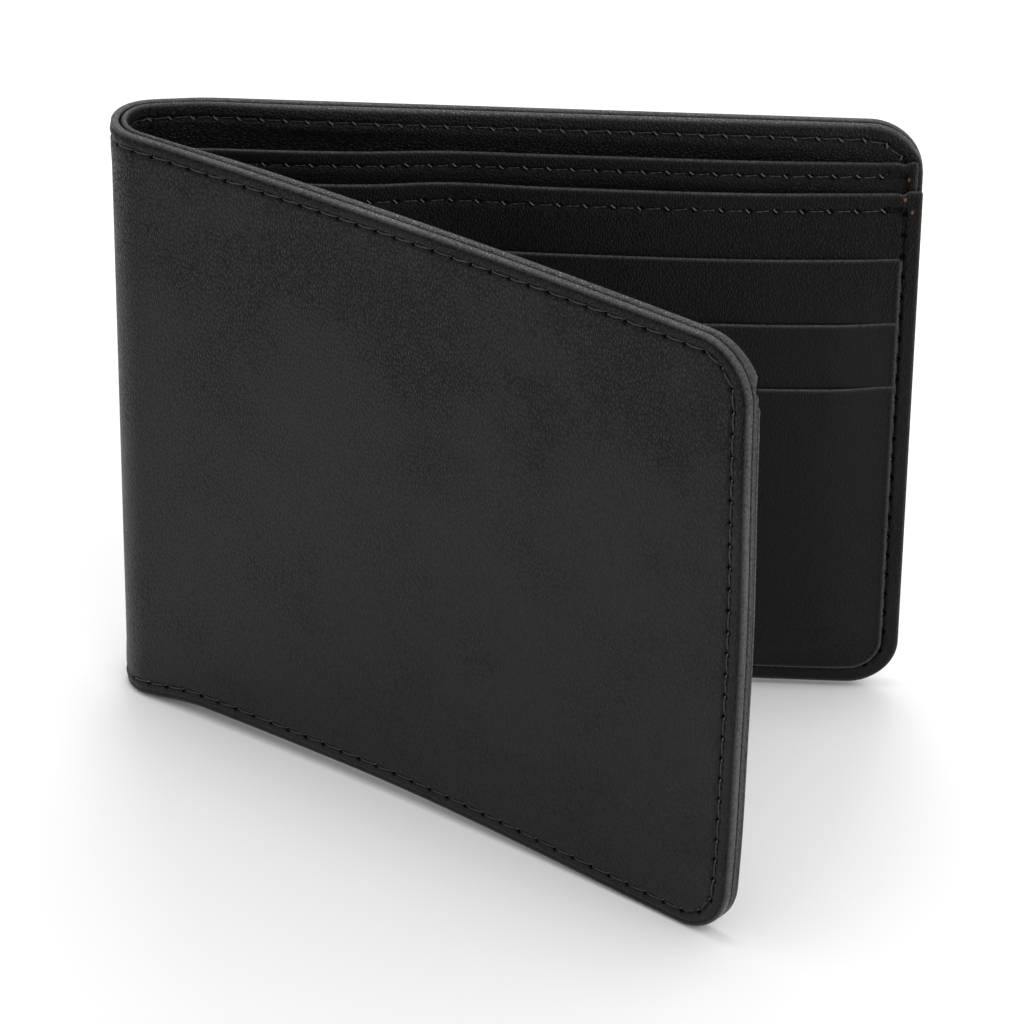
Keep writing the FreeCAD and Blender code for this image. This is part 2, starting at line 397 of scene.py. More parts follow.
def buildSheet(name, side, shape, outer, inner, outerRelief=None, innerRelief=None, seamMarks=None):
    path, count, rises = outlinePath(shape)
    total = len(path)
    distance, _, _, pitch = seamOf(shape, stitches["pitch"])
    zone, every, top = shape["zone"], 4, shape["top"]
    bead = shape["bead"] + (shape["topBead"] - shape["bead"]) * smoothStep((path[:, 1] - top + 4) / 3.5)
    rings = [(inset, 0.0) for inset in shape["outerRings"][::-1]]
    steps = shape["beadSteps"]
    for index in range(steps + 1):
        angle = math.pi * index / steps
        rise = abs(math.sin(angle)) ** shape["square"]
        turn = abs(math.cos(angle)) ** shape["square"]
        rings.append((bead * (1 - rise), 0.5 - 0.5 * math.copysign(turn, math.cos(angle))))
    rings += [(inset, 1.0) for inset in shape["innerRings"]]
    verts, marks, seams, faces = [], [], [], []

    def addPoints(u, z, share, inset, along):
        info = {"u": u, "z": z, "along": along, "inset": inset + 0 * u, "side": side, "pitch": pitch}
        out, low = outer(side, u, z) + 0 * u, inner(side, u, z) + 0 * u
        if outerRelief:
            out = out + outerRelief(info)
        if innerRelief:
            low = low - innerRelief(info)
        depth = out * (1 - share) + low * share
        if shape["topWave"]:
            z = z + shape["topWave"](u) * smoothStep((z - (top - 3)) / 3)
        verts.append(place(side * u, z, depth)[0])
        marks.append(np.stack([side * u, z, depth, inset + 0 * u], -1))
        seams.append(np.stack(seamMarks(info) if seamMarks else (0 * u, 0 * u + 9, 0 * u), -1))

    for inset, share in rings:
        u, z = insetPath(shape, path, inset)
        addPoints(u, z, share, inset, distance)
    for ring in range(len(rings) - 1):
        first = ring * total
        for k in range(total - 1):
            faces.append((first + k, first + k + 1, first + total + k + 1, first + total + k))
    offset = total * len(rings)
    bottomIndex = list(range(0, count + 1))
    topIndex = list(range(total - 1, total - 2 - count, -1))
    sideStart = count + 1 + int((path[:, 5] == 1).sum())
    sideIndex = list(range(sideStart, sideStart + rises + 1))
    for ring, share in ((0, 0.0), (len(rings) - 1, 1.0)):
        gridU = marks[ring][bottomIndex, 0][::every] * side
        gridZ = insetPath(shape, path, zone)[1][sideIndex][::every]
        flatU, flatZ = (grid.ravel() for grid in np.meshgrid(gridU, gridZ, indexing="ij"))
        addPoints(flatU, flatZ, share, zone, 0 * flatU)
        wide = len(gridZ)
        base = ring * total

        def fine(a, b):
            # the matching point of the ring, where the grid meets it
            if b == 0:
                return base + bottomIndex[a * every]
            if b == wide - 1:
                return base + topIndex[a * every]
            if a == len(gridU) - 1:
                return base + sideIndex[b * every]
            return offset + a * wide + b

        for a in range(len(gridU) - 1):
            for b in range(wide - 1):
                loop = [fine(a, b)]
                if b == 0:
                    loop += [base + bottomIndex[k] for k in range(a * every + 1, (a + 1) * every)]
                loop.append(fine(a + 1, b))
                if a == len(gridU) - 2:
                    loop += [base + sideIndex[k] for k in range(b * every + 1, (b + 1) * every)]
                loop.append(fine(a + 1, b + 1))
                if b == wide - 2:
                    loop += [base + topIndex[k] for k in range((a + 1) * every - 1, a * every, -1)]
                loop.append(fine(a, b + 1))
                faces.append(tuple(loop))
        offset += len(flatU)
    return meshObject(name, np.concatenate(verts), faces, np.concatenate(marks), np.concatenate(seams))

wearAndHighlightWidth = 0.26            # of the rim that is rubbed and painted lighter as a highlight


def meshObject(name, points, faces, marks, seams):
    mesh = bpy.data.meshes.new(name)
    mesh.from_pydata(points * millimetre, [], faces)
    for label, values in (("leather", marks[:, :3]), ("seam", seams)):
        attribute = mesh.attributes.new(label, "FLOAT_VECTOR", "POINT")
        attribute.data.foreach_set("vector", values.astype(np.float32).ravel())
    # the rim mask: rubbed wear, and where the rim colour is painted lighter as a highlight
    wearAndHighlight = mesh.attributes.new("edgeWearAndHighlight", "FLOAT", "POINT")
    wearAndHighlight.data.foreach_set("value", ridge(marks[:, 3], 0, wearAndHighlightWidth).astype(np.float32))
    work = bmesh.new()
    work.from_mesh(mesh)
    loose = [v for v in work.verts if not v.link_faces]
    bmesh.ops.delete(work, geom=loose, context="VERTS")
    bmesh.ops.remove_doubles(work, verts=work.verts, dist=2e-6)
    bmesh.ops.dissolve_degenerate(work, edges=work.edges, dist=1e-6)
    rim = [e for e in work.edges if e.is_boundary]
    before = set(work.faces)
    bmesh.ops.edgeloop_fill(work, edges=rim)
    for face in work.faces:
        face.smooth = True
    for face in set(work.faces) - before:
        face.smooth = False
        for e in face.edges:
            e.smooth = False
    bmesh.ops.recalc_face_normals(work, faces=work.faces)
    work.to_mesh(mesh)
    work.free()
    thing = bpy.data.objects.new(name, mesh)
    bpy.context.scene.collection.objects.link(thing)
    return thing


def foldPlanes(side, depthOf, top):
    # planes at the leaf's last straight line and at the spine's middle
    ups = np.linspace(1, top, 12)
    radius, _, _, turn, *_ = foldAt(ups)
    half = radius * turn / 2
    depthEdge = depthOf(side, half, ups) + 0 * ups
    depthMiddle = depthOf(side, 0 * ups, ups) + 0 * ups
    edge, _ = place(side * half, ups, depthEdge)
    middle, _ = place(0 * ups, ups, depthMiddle)
    direction = middle.mean(0) - edge.mean(0)
    direction[2] = 0
    direction /= np.linalg.norm(direction)
    atEdge = (edge @ direction).mean()
    atMiddle = (middle @ direction).min() - 0.05
    points = [direction * value * millimetre for value in (atEdge, atMiddle)]
    return [Vector(p) for p in points]


def follow(piece, side, depthOf, top=None):
    # bakes a full-length piece's transform into its mesh; the fold planes worked out here are not used
    edge, middle = foldPlanes(side, depthOf, top or height)
    if side < 0:
        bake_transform(piece)
    else:
        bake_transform(piece)


stitches = {
    "pitch": 3.2,
    "dividerPitch": 3.27,
    "panelPitch": 3.74,
    "thread": 0.18,         # half the thread's thickness
    "rise": 0.1,
    "hookRun": 0.28,
    "hookRise": 0.16,
    "sink": 0.45,
    "slant": math.radians(4.0),
    "leanSpread": 0.07,     # no two stitches lie quite alike
    "sizeRange": (0.94, 1.04),
    "hole": 0.3,            # half a needle hole's width
    "pit": 0.5,
    "pitWidth": 0.42,
    "groove": 0.24,
    "grooveWidth": 0.36,
    "lip": 0.07,            # raised round each hole
    "lipAt": 0.72,
    "lipWidth": 0.22,
    "puff": 0.08,           # raised beside each stitch
    "puffAt": 0.9,
    "puffWidth": 0.45,
}


# Node and material helpers

def hexColour(text):
    values = [int(text[k:k + 2], 16) / 255 for k in (1, 3, 5)]
    linear = [v / 12.92 if v <= 0.04045 else ((v + 0.055) / 1.055) ** 2.4 for v in values]
    return (*linear, 1.0)


def setInputs(tree, node, inputs):
    # by name or in order: numbers, hex colours, sockets, or nodes by their first output
    for key, value in inputs.items() if isinstance(inputs, dict) else enumerate(inputs):
        if isinstance(value, bpy.types.Node):
            value = value.outputs[0]
        if isinstance(value, bpy.types.NodeSocket):
            tree.links.new(value, node.inputs[key])
        elif isinstance(value, str) and value.startswith("#"):
            node.inputs[key].default_value = hexColour(value)
        else:
            node.inputs[key].default_value = value


def addNode(tree, kind, inputs=(), **settings):
    node = tree.nodes.new(kind)
    for key, value in settings.items():
        setattr(node, key, value)
    setInputs(tree, node, inputs)
    return node


def newMaterial(name):
    material = bpy.data.materials.new(name)
    material.use_nodes = True
    tree = material.node_tree
    tree.nodes.clear()
    shader = addNode(tree, "ShaderNodeBsdfPrincipled")
    addNode(tree, "ShaderNodeOutputMaterial", {"Surface": shader})
    return material, tree, shader


smooth = {"interpolation_type": "SMOOTHSTEP"}


def leatherMaterial(name, look):
    # Corrected calf leather, dyed through, plated and top-coated: small pebbles, satin
    material, tree, shader = newMaterial(name)
    where = addNode(tree, "ShaderNodeAttribute", attribute_name="leather").outputs["Vector"]
    wearAndHighlight = addNode(tree, "ShaderNodeAttribute", attribute_name="edgeWearAndHighlight").outputs["Fac"]
    seam = addNode(tree, "ShaderNodeAttribute", attribute_name="seam").outputs["Vector"]
    toHole, across, strength = addNode(tree, "ShaderNodeSeparateXYZ", [seam]).outputs
    along, up, _ = addNode(tree, "ShaderNodeSeparateXYZ", [where]).outputs

    # pebbles drawn out along the leaf, with creases between them, calmer in broad patches
    broad = addNode(tree, "ShaderNodeTexNoise", {"Vector": where, "Scale": 0.06, "Detail": 3.0})
    wander = addNode(tree, "ShaderNodeTexNoise",
                     {"Vector": where, "Scale": 0.6 / look["grain"], "Detail": 2.0}).outputs["Color"]
    shift = addNode(tree, "ShaderNodeVectorMath", [wander, (look["grain"] * 0.7,) * 3], operation="MULTIPLY")
    moved = addNode(tree, "ShaderNodeVectorMath", [where, shift], operation="ADD")
    drawn = addNode(tree, "ShaderNodeVectorMath", [moved, (1.0, look["stretch"], 1.0)], operation="MULTIPLY")
    pebble = addNode(tree, "ShaderNodeTexVoronoi", {"Vector": drawn, "Scale": 1 / look["grain"]},
                     feature="DISTANCE_TO_EDGE").outputs["Distance"]
    pillow = addNode(tree, "ShaderNodeMapRange", [pebble, 0.0, 0.28], **smooth)
    crease = addNode(tree, "ShaderNodeTexNoise",
                     {"Vector": drawn, "Scale": 0.9 / look["grain"], "Detail": 2.0})
    patch = addNode(tree, "ShaderNodeMapRange", [broad, 0.35, 0.7, look["calm"], 1.0], **smooth)
    fade = addNode(tree, "ShaderNodeMapRange",
                   [up, height - look["fade"], height - 3.0, look["calm"], 1.0], **smooth)
    patch = addNode(tree, "ShaderNodeMath", [patch, fade], operation="MULTIPLY")
    grain = addNode(tree, "ShaderNodeMath", [pillow, 0.7], operation="MULTIPLY")
    grain = addNode(tree, "ShaderNodeMath", [crease, 0.6, grain], operation="MULTIPLY_ADD")
    grain = addNode(tree, "ShaderNodeMath", [grain, patch], operation="MULTIPLY")
    pore = addNode(tree, "ShaderNodeTexNoise", {"Vector": where, "Scale": 5.0, "Detail": 2.0})
    fibre = addNode(tree, "ShaderNodeTexNoise", {"Vector": where, "Scale": 2.2, "Detail": 4.0})

    # needle holes and the slit that the thread lies in
    for operation, value in (("ADD", 0.5), ("FRACT", 0.0), ("SUBTRACT", 0.5),
                             ("MULTIPLY", stitches["pitch"])):
        toHole = addNode(tree, "ShaderNodeMath", [toHole, value], operation=operation)
    spot = addNode(tree, "ShaderNodeCombineXYZ", [toHole, across])
    radius = addNode(tree, "ShaderNodeVectorMath", [spot], operation="LENGTH").outputs["Value"]
    aside = addNode(tree, "ShaderNodeMath", [across], operation="ABSOLUTE")
    outside, inside = stitches["hole"] + 0.1, stitches["hole"] - 0.1
    hole = addNode(tree, "ShaderNodeMapRange", [radius, outside, inside], **smooth)
    slit = addNode(tree, "ShaderNodeMapRange", [aside, 0.3, 0.12], **smooth)
    lipIn = addNode(tree, "ShaderNodeMapRange", [radius, 0.3, 0.5], **smooth)
    lipOut = addNode(tree, "ShaderNodeMapRange", [radius, 0.85, 0.5], **smooth)
    lip = addNode(tree, "ShaderNodeMath", [lipIn, lipOut], operation="MULTIPLY")
    hole, slit, lip = (addNode(tree, "ShaderNodeMath", [part, strength], operation="MULTIPLY")
                       for part in (hole, slit, lip))

    frayed = addNode(tree, "ShaderNodeMath", [fibre, wearAndHighlight], operation="MULTIPLY")
    relief = addNode(tree, "ShaderNodeMath", [grain, look["depth"]], operation="MULTIPLY")
    for part, depth in ((pore, look["pore"]), (hole, -0.3), (lip, 0.05), (slit, -0.06), (frayed, 0.03)):
        relief = addNode(tree, "ShaderNodeMath", [part, depth, relief], operation="MULTIPLY_ADD")
    bump = addNode(tree, "ShaderNodeBump", {"Height": relief, "Distance": millimetre})

    # painted shade in the creases, burnished rims painted lighter as a highlight, painted shade in the holes
    # and the slit, and raw leather shows where a seam tore the coat
    base = addNode(tree, "ShaderNodeMix", {0: broad, 6: look["dark"], 7: look["light"]}, data_type="RGBA")
    # painted shade: the creases between the pebbles are darkened towards the crease colour
    low = addNode(tree, "ShaderNodeMath", [1.0, pillow], operation="SUBTRACT")
    clear = addNode(tree, "ShaderNodeMapRange", [patch, 0.1, 0.7, 0.6, 1.0], **smooth)
    low = addNode(tree, "ShaderNodeMath", [low, clear], operation="MULTIPLY")
    # rims: burnished wear plus a painted highlight, a lighter colour along the rim that stands in for
    # reflected light
    uneven = addNode(tree, "ShaderNodeMapRange", [fibre, 0.3, 0.62, 0.5, 1.0], **smooth)
    rubbedAndHighlit = addNode(tree, "ShaderNodeMath", [wearAndHighlight, uneven], operation="MULTIPLY")
    layers = [(low, look["creaseShade"]), (rubbedAndHighlit, look["wornAndHighlight"])]
    for spotAlong, spotUp in look["raw"]:
        reach = addNode(tree, "ShaderNodeMath", [along], operation="ABSOLUTE")
        reach = addNode(tree, "ShaderNodeMath", [reach, spotAlong], operation="SUBTRACT")
        above = addNode(tree, "ShaderNodeMath", [up, spotUp], operation="SUBTRACT")
        above = addNode(tree, "ShaderNodeMath", [above, 0.7], operation="MULTIPLY")
        spot = addNode(tree, "ShaderNodeCombineXYZ", [reach, above])
        away = addNode(tree, "ShaderNodeVectorMath", [spot], operation="LENGTH").outputs["Value"]
        ragged = addNode(tree, "ShaderNodeMath", [fibre, 0.5, away], operation="MULTIPLY_ADD")
        layers.append((addNode(tree, "ShaderNodeMapRange", [ragged, 0.5, 0.38], **smooth), look["rawColour"]))
    # painted shade: the needle holes and the slit are darkened towards the hole colour
    shade = addNode(tree, "ShaderNodeMath", [slit, 0.6], operation="MULTIPLY")
    dark = addNode(tree, "ShaderNodeMath", [hole, shade], operation="MAXIMUM")
    layers.append((dark, look["holeShadeColour"]))
    colour = base.outputs[2]
    for factor, tint in layers:
        colour = addNode(tree, "ShaderNodeMix", {0: factor, 6: colour, 7: tint}, data_type="RGBA").outputs[2]

    satin = addNode(tree, "ShaderNodeMapRange",
                    [pore, 0.2, 0.8, look["rough"] - 0.05, look["rough"] + 0.05], **smooth)
    burnished = addNode(tree, "ShaderNodeMath", [wearAndHighlight, -look["burnish"], satin], operation="MULTIPLY_ADD")
    dusty = addNode(tree, "ShaderNodeMath", [low, 0.7], operation="MULTIPLY")
    matt = addNode(tree, "ShaderNodeMath", [dark, dusty], operation="MAXIMUM")
    matt = addNode(tree, "ShaderNodeMath", [burnished, matt], operation="MAXIMUM")
    setInputs(tree, shader, {"Base Color": colour, "Roughness": matt, "Normal": bump,
                             "Specular IOR Level": look["shine"]})
    return material


rawSpots = [(halfLength - 1.9, dividerTop(-1) - 2.5),
            (halfLength - 2.3, panelTop(-1) - 0.9),
            (halfLength - 1.2, panelTop(-1) - 2.8)]
# the crease colour and the hole colour are painted shade; the rim colour is wear plus a painted highlight
coverLook = {"grain": 0.4, "stretch": 0.5, "depth": 0.22, "pore": 0.03, "calm": 0.45, "fade": 45.0,
             "dark": "#171719", "light": "#1e1e20", "creaseShade": "#080809", "wornAndHighlight": "#4c4c4f",
             "rawColour": "#74503f", "holeShadeColour": "#020202",
             "rough": 0.36, "burnish": 0.17, "shine": 0.17, "raw": []}
liningLook = dict(coverLook, grain=0.5, stretch=0.8, depth=0.2, calm=0.6, fade=20.0, rough=0.42,
                  dark="#151515", light="#1b1b1b", creaseShade="#050505", wornAndHighlight="#48484a")
innerLook = dict(coverLook, grain=0.38, depth=0.14, calm=0.5, fade=40.0, rough=0.42, shine=0.14,
                 dark="#111110", light="#161615", creaseShade="#080808", wornAndHighlight="#484849", raw=rawSpots)
coverLeather = leatherMaterial("platedCalfCover", coverLook)
liningLeather = leatherMaterial("softGoatLining", liningLook)
innerLeather = leatherMaterial("skivedCalfInner", innerLook)


def boardMaterial():
    # Bonded fibre interlining: pressed grey-brown pulp, dull
    material, tree, shader = newMaterial("bondedFibreBoard")
    where = addNode(tree, "ShaderNodeAttribute", attribute_name="leather").outputs["Vector"]
    fibre = addNode(tree, "ShaderNodeTexNoise", {"Vector": where, "Scale": 2.0, "Detail": 6.0})
    tone = addNode(tree, "ShaderNodeMix", {0: fibre, 6: "#6f675c", 7: "#8b8376"}, data_type="RGBA")
    bump = addNode(tree, "ShaderNodeBump", {"Height": fibre, "Distance": 0.03 * millimetre})
    setInputs(tree, shader, {"Base Color": tone.outputs[2], "Roughness": 0.9, "Normal": bump})
    return material


def twillMaterial():
    # Polyester lining twill, piece-dyed black: fine diagonal ribs with a slight sheen
    material, tree, shader = newMaterial("polyesterTwill")
    where = addNode(tree, "ShaderNodeAttribute", attribute_name="leather").outputs["Vector"]
    turned = addNode(tree, "ShaderNodeMapping", {"Vector": where, "Rotation": (0, 0, math.radians(35))})
    rib = addNode(tree, "ShaderNodeTexWave",
                  {"Vector": turned, "Scale": 0.9, "Distortion": 0.6}).outputs["Fac"]
    tone = addNode(tree, "ShaderNodeMix", {0: rib, 6: "#0b0b0b", 7: "#191919"}, data_type="RGBA")
    bump = addNode(tree, "ShaderNodeBump", {"Height": rib, "Distance": 0.02 * millimetre})
    setInputs(tree, shader, {"Base Color": tone.outputs[2], "Roughness": 0.6, "Normal": bump})
    return material


def threadMaterial():
    # Waxed bonded polyester thread, black, turned brown-grey towards each stitch's end and hook where it is
    # rubbed and painted lighter as a highlight
    material, tree, shader = newMaterial("waxedPolyesterThread")
    threadPlace = addNode(tree, "ShaderNodeAttribute", attribute_name="twist").outputs["Vector"]
    ply = addNode(tree, "ShaderNodeTexWave", {"Vector": threadPlace, "Scale": 0.55, "Distortion": 0.4},
                  bands_direction="DIAGONAL").outputs["Fac"]
    tone = addNode(tree, "ShaderNodeMix", {0: ply, 6: "#100f0e", 7: "#201e1b"}, data_type="RGBA")
    run = addNode(tree, "ShaderNodeSeparateXYZ", [threadPlace])
    # rub and painted highlight: the end of each stitch and its hook are lighter
    rubAndHighlight = addNode(tree, "ShaderNodeMapRange", [run, 1.1, 1.3])
    rubbedAndHighlit = addNode(tree, "ShaderNodeMix", {0: rubAndHighlight, 6: tone.outputs[2], 7: "#4b4841"}, data_type="RGBA")
    bump = addNode(tree, "ShaderNodeBump", {"Height": ply, "Distance": 0.05 * millimetre})
    setInputs(tree, shader, {"Base Color": rubbedAndHighlit.outputs[2], "Roughness": 0.45, "Normal": bump})
    return material


fibreBoard = boardMaterial()
liningTwill = twillMaterial()
waxedThread = threadMaterial()
print("materials made")


# Stitches

def seamRelief(along, across, pitch, strength=1.0):
    # needle holes pulled in, a slit along the seam and leather puffed between the holes
    toHole = (np.mod(along / pitch + 0.5, 1) - 0.5) * pitch
    radius = np.hypot(toHole, across)
    pit = stitches["pit"] * np.exp(-(radius / stitches["pitWidth"]) ** 3)
    lip = stitches["lip"] * ridge(radius, stitches["lipAt"], stitches["lipWidth"])
    groove = stitches["groove"] * ridge(across, 0, stitches["grooveWidth"])
    middle = 0.5 - 0.5 * np.cos(2 * math.pi * along / pitch)
    puff = stitches["puff"] * middle * ridge(np.abs(across), stitches["puffAt"], stitches["puffWidth"])
    return strength * (np.maximum(pit, groove) - puff - lip)


def stitchTree():
    # one stitch: over the surface from hole to hole, with a hooked end
    tree = bpy.data.node_groups.new("sewnRow", "GeometryNodeTree")
    sockets = {"Geometry": "Geometry", "Stitch Length": "Float", "Thread Radius": "Float",
               "Rise": "Float", "Sink": "Float", "Slant": "Float", "Hook": "Float",
               "Hook Run": "Float", "Hook Rise": "Float", "Seed": "Int", "Material": "Material"}
    for label, kind in sockets.items():
        tree.interface.new_socket(label, in_out="INPUT", socket_type="NodeSocket" + kind)
    tree.interface.new_socket("Geometry", in_out="OUTPUT", socket_type="NodeSocketGeometry")
    given = addNode(tree, "NodeGroupInput").outputs
    length, rise, hookRise = given["Stitch Length"], given["Rise"], given["Hook Rise"]

    below = addNode(tree, "ShaderNodeMath", [given["Sink"], -1.0], operation="MULTIPLY")
    arch = addNode(tree, "GeometryNodeCurvePrimitiveBezierSegment", {"Resolution": 10})
    for label, share, level in (("Start", -0.5, below), ("Start Handle", -0.45, rise),
                                ("End Handle", 0.45, rise), ("End", 0.5, below)):
        run = addNode(tree, "ShaderNodeMath", [length, share], operation="MULTIPLY")
        setInputs(tree, arch, {label: addNode(tree, "ShaderNodeCombineXYZ", {"X": run, "Z": level})})
    # the lower thread is pulled up through the hole and lies across it
    sunk = addNode(tree, "ShaderNodeMath", [given["Sink"], -0.8, hookRise], operation="MULTIPLY_ADD")
    hook = addNode(tree, "GeometryNodeCurvePrimitiveBezierSegment", {"Resolution": 8})
    for label, sign, level in (("Start", -1.0, sunk), ("Start Handle", -1.0, hookRise),
                               ("End Handle", 1.0, hookRise), ("End", 1.0, sunk)):
        beyond = addNode(tree, "ShaderNodeMath", [given["Hook Run"], sign], operation="MULTIPLY")
        run = addNode(tree, "ShaderNodeMath", [length, 0.5, beyond], operation="MULTIPLY_ADD")
        aside = addNode(tree, "ShaderNodeMath", [given["Hook"], sign * 0.5], operation="MULTIPLY")
        setInputs(tree, hook, {label: addNode(tree, "ShaderNodeCombineXYZ", [run, aside, level])})
    thinner = addNode(tree, "GeometryNodeSetCurveRadius", {"Curve": hook, "Radius": 0.6})
    both = addNode(tree, "GeometryNodeJoinGeometry")
    for curve in (thinner, arch):
        setInputs(tree, both, [curve])
    ring = addNode(tree, "GeometryNodeCurvePrimitiveCircle",
                   {"Resolution": 6, "Radius": given["Thread Radius"]})
    bar = addNode(tree, "GeometryNodeCurveToMesh",
                  {"Curve": both, "Profile Curve": ring, "Fill Caps": True})
    spot = addNode(tree, "GeometryNodeInputPosition")
    threadPlace = addNode(tree, "ShaderNodeVectorMath", [spot, (1 / millimetre,) * 3], operation="MULTIPLY")
    marked = addNode(tree, "GeometryNodeStoreNamedAttribute",
                     {"Geometry": bar, "Name": "twist", "Value": threadPlace},
                     data_type="FLOAT_VECTOR", domain="POINT")

    # each copy lies along its run, faces out and leans a little
    run = addNode(tree, "GeometryNodeInputNamedAttribute", {"Name": "run"}, data_type="FLOAT_VECTOR")
    out = addNode(tree, "GeometryNodeInputNamedAttribute", {"Name": "out"}, data_type="FLOAT_VECTOR")
    first = addNode(tree, "FunctionNodeAlignRotationToVector", {"Vector": run}, axis="X")
    second = addNode(tree, "FunctionNodeAlignRotationToVector", {"Rotation": first, "Vector": out},
                     axis="Z", pivot_axis="X")
    spread = stitches["leanSpread"]
    jitter = addNode(tree, "FunctionNodeRandomValue", {2: -spread, 3: spread, "Seed": given["Seed"]},
                     data_type="FLOAT")
    lean = addNode(tree, "ShaderNodeMath", [given["Slant"], jitter.outputs[1]], operation="ADD")
    leanTurn = addNode(tree, "ShaderNodeCombineXYZ", {"Z": lean})
    leaned = addNode(tree, "FunctionNodeRotateRotation", {"Rotation": second, "Rotate By": leanTurn},
                     rotation_space="LOCAL")
    smallest, largest = stitches["sizeRange"]
    size = addNode(tree, "FunctionNodeRandomValue", {2: smallest, 3: largest, "Seed": given["Seed"]},
                   data_type="FLOAT")
    copies = addNode(tree, "GeometryNodeInstanceOnPoints", {
        "Points": given["Geometry"], "Instance": marked, "Rotation": leaned, "Scale": size.outputs[1]})
    solid = addNode(tree, "GeometryNodeRealizeInstances", {"Geometry": copies})
    shaded = addNode(tree, "GeometryNodeSetShadeSmooth", {"Geometry": solid})
    painted = addNode(tree, "GeometryNodeSetMaterial", {"Geometry": shaded, "Material": given["Material"]})
    addNode(tree, "NodeGroupOutput", {"Geometry": painted})
    return tree


sewnRow = stitchTree()


def sewRow(name, side, us, ups, depthOf, facing, seed, hook=0.0, thin=1.0):
    # one stitch between each hole and the next: us and ups are the holes' places
    us, ups = np.asarray(us, float), np.asarray(ups, float)
    holes, _ = place(side * us, ups, depthOf(side, us, ups) + 0 * us)
    middleU, middleZ = (us[1:] + us[:-1]) / 2, (ups[1:] + ups[:-1]) / 2
    lie = depthOf(side, middleU, middleZ) + facing * stitches["groove"] * 0.6
    centres, normals = place(side * middleU, middleZ, lie)
    runs = holes[1:] - holes[:-1]
    spacing = np.linalg.norm(runs, axis=1)
    runs /= spacing[:, None]
    points = bpy.data.meshes.new(name + "Points")
    points.from_pydata(centres * millimetre, [], [])
    for label, values in (("run", runs), ("out", normals * facing)):
        attribute = points.attributes.new(label, "FLOAT_VECTOR", "POINT")
        attribute.data.foreach_set("vector", values.astype(np.float32).ravel())
    source = bpy.data.objects.new(name + "Points", points)
    bpy.context.scene.collection.objects.link(source)
    values = {
        "Stitch Length": float(np.median(spacing)) * 0.95 * millimetre,
        "Thread Radius": stitches["thread"] * thin * millimetre,
        "Rise": stitches["rise"] * thin * millimetre,
        "Sink": stitches["sink"] * millimetre,
        "Slant": stitches["slant"] * facing * side,
        "Hook": -hook * facing * side * millimetre,
        "Hook Run": stitches["hookRun"] * (1.0 if hook else 0.3) * millimetre,
        "Hook Rise": (stitches["hookRise"] if hook else -2 * stitches["sink"]) * millimetre,
        "Seed": seed,
        "Material": waxedThread,
    }
    modifier = source.modifiers.new("sewnRow", "NODES")
    modifier.node_group = sewnRow
    for item in sewnRow.interface.items_tree:
        if item.in_out == "INPUT" and item.name in values:
            modifier[item.identifier] = values[item.name]
    bpy.context.view_layer.update()
    evaluated = source.evaluated_get(bpy.context.evaluated_depsgraph_get())
    mesh = bpy.data.meshes.new_from_object(evaluated)
    bpy.data.objects.remove(source)
    thread = bpy.data.objects.new(name, mesh)
    bpy.context.scene.collection.objects.link(thread)
    mesh.materials.clear()
    mesh.materials.append(waxedThread)
    return thread


# The full-length sheets: cover, lining, divider and panel, a half on each side

denseRings = [1.0, 1.15, 1.3, 1.5, 1.7, 1.85, 2.0, 2.12, 2.25, 2.4, 2.55, 2.75, 3.0, 3.4, 4.0, 5.0, 6.6, 8.5]
plainRings = [0.9, 3.0, 6.6, 7.2, 8.5]
dividerRings = [0.4, 0.8, 1.1, 1.3, 1.5, 1.65, 1.8, 1.95, 2.1, 2.3, 2.55, 2.9, 3.4, 4.4, 6.0, 8.5]
panelRings = [0.4, 0.8, 1.2, 1.5, 1.7, 1.85, 2.0, 2.15, 2.3, 2.5, 2.65, 2.8, 2.95, 3.1, 3.3, 3.6,
              4.2, 5.4, 8.5]

coverShape = {
    "start": 0.0, "edge": halfLength, "bottom": 0.0, "top": height, "zone": 8.5,
    "cornerTop": 8.2, "cornerBottom": 8.2, "seam": 2.1, "sideInset": 0.45, "step": 0.27,
    "bead": 0.42, "topBead": 0.42, "beadSteps": 10, "square": 0.6, "topWave": None,
    "outerRings": [0.55, 0.64, 0.72, 0.8, 0.9] + denseRings, "innerRings": plainRings,
}
liningShape = dict(coverShape, sideInset=0.2, outerRings=plainRings, innerRings=denseRings,
                   bead=0.35, topBead=0.85, square=0.85)


def raisedEnd(amount):
    # a top edge that dips at the side seam and stands up beyond it
    def wave(u):
        beyond = smoothStep((u - (halfLength - 2.4)) / 0.7)
        return amount * beyond - 0.25 * np.exp(-((u - (halfLength - 2.6)) / 0.45) ** 2)
    return wave


sideSeam = 2.28             # the pockets' side seam, from the lining's edge
dividerShape = dict(liningShape, cornerTop=0.4, bead=0.1, topBead=0.24,
                    seam=sideSeam, beadSteps=6, step=0.3, sideInset=0.0,
                    outerRings=plainRings, innerRings=dividerRings, topWave=raisedEnd(0.15))
panelShape = dict(dividerShape, innerRings=panelRings, topWave=raisedEnd(0.35))
dividerRow, panelRow = 2.25, 2.75       # the rows of stitches, from the top edges
rowEnd = halfLength - 3.0
turnedEdge = 6.6            # how wide the turned edge is
coverFolds = [(0.16, 0.66, 0.13), (-0.1, 1.3, 0.4), (-0.1, 4.0, 1.4)]   # depth, place and width


def softWaves(info):
    # long shallow unevenness of a leather sheet
    u, z, side = info["u"], info["z"], info["side"]
    wave = np.sin(u / 15.0 + 1.3 * side) * np.sin(z / 19.0 + 0.4)
    wave = wave + 0.6 * np.sin(u / 7.5 - z / 11.0 + side)
    away = smoothStep((info["inset"] - 2.5) / 5.0) * smoothStep((u - 14) / 20.0)
    return 0.07 * wave * away


